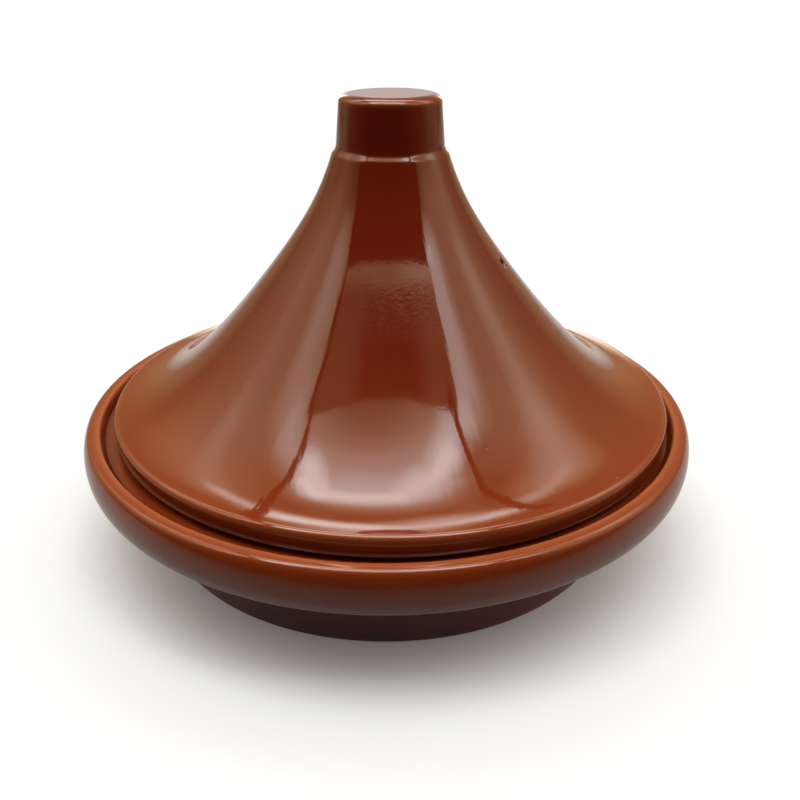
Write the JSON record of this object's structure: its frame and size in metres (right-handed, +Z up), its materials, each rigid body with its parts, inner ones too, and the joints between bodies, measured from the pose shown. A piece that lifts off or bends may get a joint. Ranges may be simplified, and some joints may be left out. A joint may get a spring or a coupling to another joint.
{
  "type": "tagine pot",
  "caption": "Glazed clay tagine: round dish with a rolled rim, and a tall flared lid with a flat-topped knob and steam vent that lifts straight off.",
  "frame": {"origin": "middle of the foot ring, on the surface that the dish stands on", "axes": "+Z up along the dish's axis, the front of the picture faces -Y, and the steam vent is on the +X side"},
  "size_m": [0.27, 0.27, 0.1894],
  "materials": {
    "dish_glaze": "glossy red-brown glaze on red earthenware, bare clay on the foot ring",
    "lid_glaze": "glossy red-brown glaze on red earthenware, bare clay under the rim"
  },
  "bodies": {
    "dish": {"base_dish": "dish_glaze"},
    "lid": {"conical_lid": "lid_glaze"}
  },
  "joints": [
    {"name": "lid_lift", "type": "slide", "parent": "dish", "child": "lid", "axis": [0, 0, 1], "range_m": [0, 0.15]}
  ]
}
